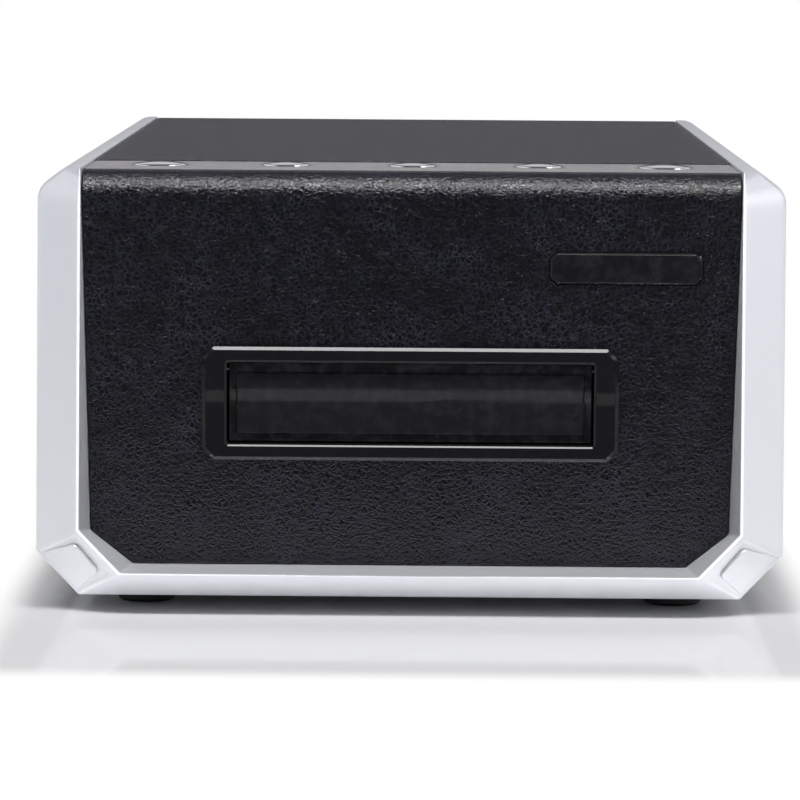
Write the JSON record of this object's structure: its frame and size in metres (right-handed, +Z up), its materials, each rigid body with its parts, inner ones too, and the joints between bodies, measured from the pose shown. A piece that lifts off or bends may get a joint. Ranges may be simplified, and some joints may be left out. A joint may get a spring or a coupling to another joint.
{
  "type": "film negative scanner",
  "caption": "Desktop film negative scanner: silver U shell, black grained covers, front and rear holder flaps, sprung top buttons and a geared film feed.",
  "frame": {"origin": "on the table plane, under the middle of the body's box", "axes": "+X to the right as seen from the front, +Y from the front window to the back panel, +Z up"},
  "size_m": [0.175, 0.2601, 0.1042],
  "materials": {
    "silver_shell": "satin silver paint on a moulded shell",
    "silver_cap": "satin silver paint, a touch brighter than the shell",
    "black_grain": "pebbled leather-grain moulding",
    "black_moulding": "fine matt spark texture",
    "strip_satin": "satin gunmetal-grey moulding",
    "chrome_cap": "bright plating",
    "circuit_board": "green solder mask",
    "switch_body": "black switch moulding with a steel lid",
    "gloss_black": "polished black moulding",
    "gloss_flap": "semi-gloss black moulding",
    "gloss_plate": "polished black plate, left bare",
    "steel_pin": "ground steel",
    "spring_wire": "drawn spring steel",
    "zinc_sheet": "zinc-plated sheet",
    "guide_moulding": "matt black moulding",
    "roller_rubber": "ground rubber",
    "gear_nylon": "natural acetal",
    "brass_part": "turned brass",
    "motor_can": "plated steel can",
    "diffuser_sheet": "opal sheet",
    "mirror_face": "first-surface mirror",
    "lens_black": "black anodised",
    "lens_glass": "coated glass",
    "sensor_body": "ceramic package",
    "chip_black": "moulded packages",
    "socket_steel": "plated socket shell",
    "socket_black": "black socket moulding",
    "foot_rubber": "soft black rubber",
    "screw_steel": "dark plated screws"
  },
  "bodies": {
    "housing": {"outer_shell": "silver_shell", "corner_caps": "silver_cap", "front_panel": "black_grain", "top_cover": "black_grain", "back_panel": "black_moulding", "button_strip": "strip_satin", "button_board": "circuit_board", "button_switches": "switch_body", "window_bezel": "gloss_black", "flap_pin": "steel_pin", "blank_plate": "gloss_plate", "chassis_plate": "zinc_sheet", "left_side_frame": "zinc_sheet", "right_side_frame": "zinc_sheet", "lower_guide": "guide_moulding", "upper_guide": "guide_moulding", "gear_studs": "steel_pin", "feed_motor": "motor_can", "motor_bracket": "zinc_sheet", "shaft_bushes": "brass_part", "pinch_springs": "spring_wire", "lamp_housing": "guide_moulding", "lamp_board": "circuit_board", "lamp_diffuser": "diffuser_sheet", "optics_bench": "guide_moulding", "fold_mirror": "mirror_face", "lens_barrel": "lens_black", "lens_glass": "lens_glass", "lens_clamp": "zinc_sheet", "sensor_board": "circuit_board", "line_sensor": "sensor_body", "board_tray": "zinc_sheet", "main_board": "circuit_board", "board_parts": "chip_black", "usb_socket": "socket_steel", "dc_socket": "socket_black", "rubber_feet": "foot_rubber", "case_screws": "screw_steel"},
    "front_flap": {"flap_door": "gloss_flap", "flap_spring": "spring_wire"},
    "rear_flap_body": {"rear_flap": "gloss_flap"},
    "power_key": {"power_button": "chrome_cap"},
    "load_key": {"load_button": "chrome_cap"},
    "scan_key": {"scan_button": "chrome_cap"},
    "preset_key": {"preset_button": "chrome_cap"},
    "eject_key": {"eject_button": "chrome_cap"},
    "front_feed": {"front_feed_shaft": "steel_pin", "front_feed_rollers": "roller_rubber", "front_feed_gear": "gear_nylon"},
    "rear_feed": {"rear_feed_shaft": "steel_pin", "rear_feed_rollers": "roller_rubber", "rear_feed_gear": "gear_nylon"},
    "idler": {"idler_gear": "gear_nylon"},
    "compound": {"compound_gear": "gear_nylon"},
    "motor_rotor": {"motor_pinion": "brass_part", "motor_shaft": "steel_pin"},
    "front_pinch": {"front_pinch_shaft": "steel_pin", "front_pinch_rollers": "roller_rubber"},
    "rear_pinch": {"rear_pinch_shaft": "steel_pin", "rear_pinch_rollers": "roller_rubber"}
  },
  "joints": [
    {"name": "front_flap_hinge", "type": "hinge", "parent": "housing", "child": "front_flap", "pos_m": [0, -0.1169, 0.05705], "axis": [1, 0, 0], "range_deg": [0, 90], "stiffness_Nm_per_rad": 0.001, "springref_deg": -20.05},
    {"name": "rear_flap_hinge", "type": "hinge", "parent": "housing", "child": "rear_flap_body", "pos_m": [0, 0.1253, 0.0561], "axis": [1, 0, 0], "range_deg": [0, 85]},
    {"name": "power_press", "type": "slide", "parent": "housing", "child": "power_key", "axis": [0, 0, -1], "range_m": [0, 0.0006], "stiffness_N_per_m": 600, "springref_m": -0.0005},
    {"name": "load_press", "type": "slide", "parent": "housing", "child": "load_key", "axis": [0, 0, -1], "range_m": [0, 0.0006], "stiffness_N_per_m": 600, "springref_m": -0.0005},
    {"name": "scan_press", "type": "slide", "parent": "housing", "child": "scan_key", "axis": [0, 0, -1], "range_m": [0, 0.0006], "stiffness_N_per_m": 600, "springref_m": -0.0005},
    {"name": "preset_press", "type": "slide", "parent": "housing", "child": "preset_key", "axis": [0, 0, -1], "range_m": [0, 0.0006], "stiffness_N_per_m": 600, "springref_m": -0.0005},
    {"name": "eject_press", "type": "slide", "parent": "housing", "child": "eject_key", "axis": [0, 0, -1], "range_m": [0, 0.0006], "stiffness_N_per_m": 600, "springref_m": -0.0005},
    {"name": "front_feed_spin", "type": "hinge", "parent": "housing", "child": "front_feed", "pos_m": [0, -0.069, 0.0374], "axis": [1, 0, 0], "continuous": true},
    {"name": "rear_feed_spin", "type": "hinge", "parent": "housing", "child": "rear_feed", "pos_m": [0, -0.013, 0.0374], "axis": [1, 0, 0], "continuous": true},
    {"name": "idler_spin", "type": "hinge", "parent": "housing", "child": "idler", "pos_m": [0, -0.041, 0.0374], "axis": [1, 0, 0], "continuous": true},
    {"name": "compound_spin", "type": "hinge", "parent": "housing", "child": "compound", "pos_m": [0, -0.08201, 0.02439], "axis": [1, 0, 0], "continuous": true},
    {"name": "motor_spin", "type": "hinge", "parent": "housing", "child": "motor_rotor", "pos_m": [0, -0.06902, 0.03189], "axis": [1, 0, 0], "continuous": true},
    {"name": "front_pinch_spin", "type": "hinge", "parent": "housing", "child": "front_pinch", "pos_m": [0, -0.069, 0.0594], "axis": [1, 0, 0], "continuous": true},
    {"name": "rear_pinch_spin", "type": "hinge", "parent": "housing", "child": "rear_pinch", "pos_m": [0, -0.013, 0.0594], "axis": [1, 0, 0], "continuous": true}
  ],
  "couplings": [
    {"joint": "idler_spin", "follows": "front_feed_spin", "ratio": -0.75},
    {"joint": "rear_feed_spin", "follows": "front_feed_spin", "ratio": 1},
    {"joint": "compound_spin", "follows": "front_feed_spin", "ratio": -1.875},
    {"joint": "motor_spin", "follows": "front_feed_spin", "ratio": 7.5}
  ]
}
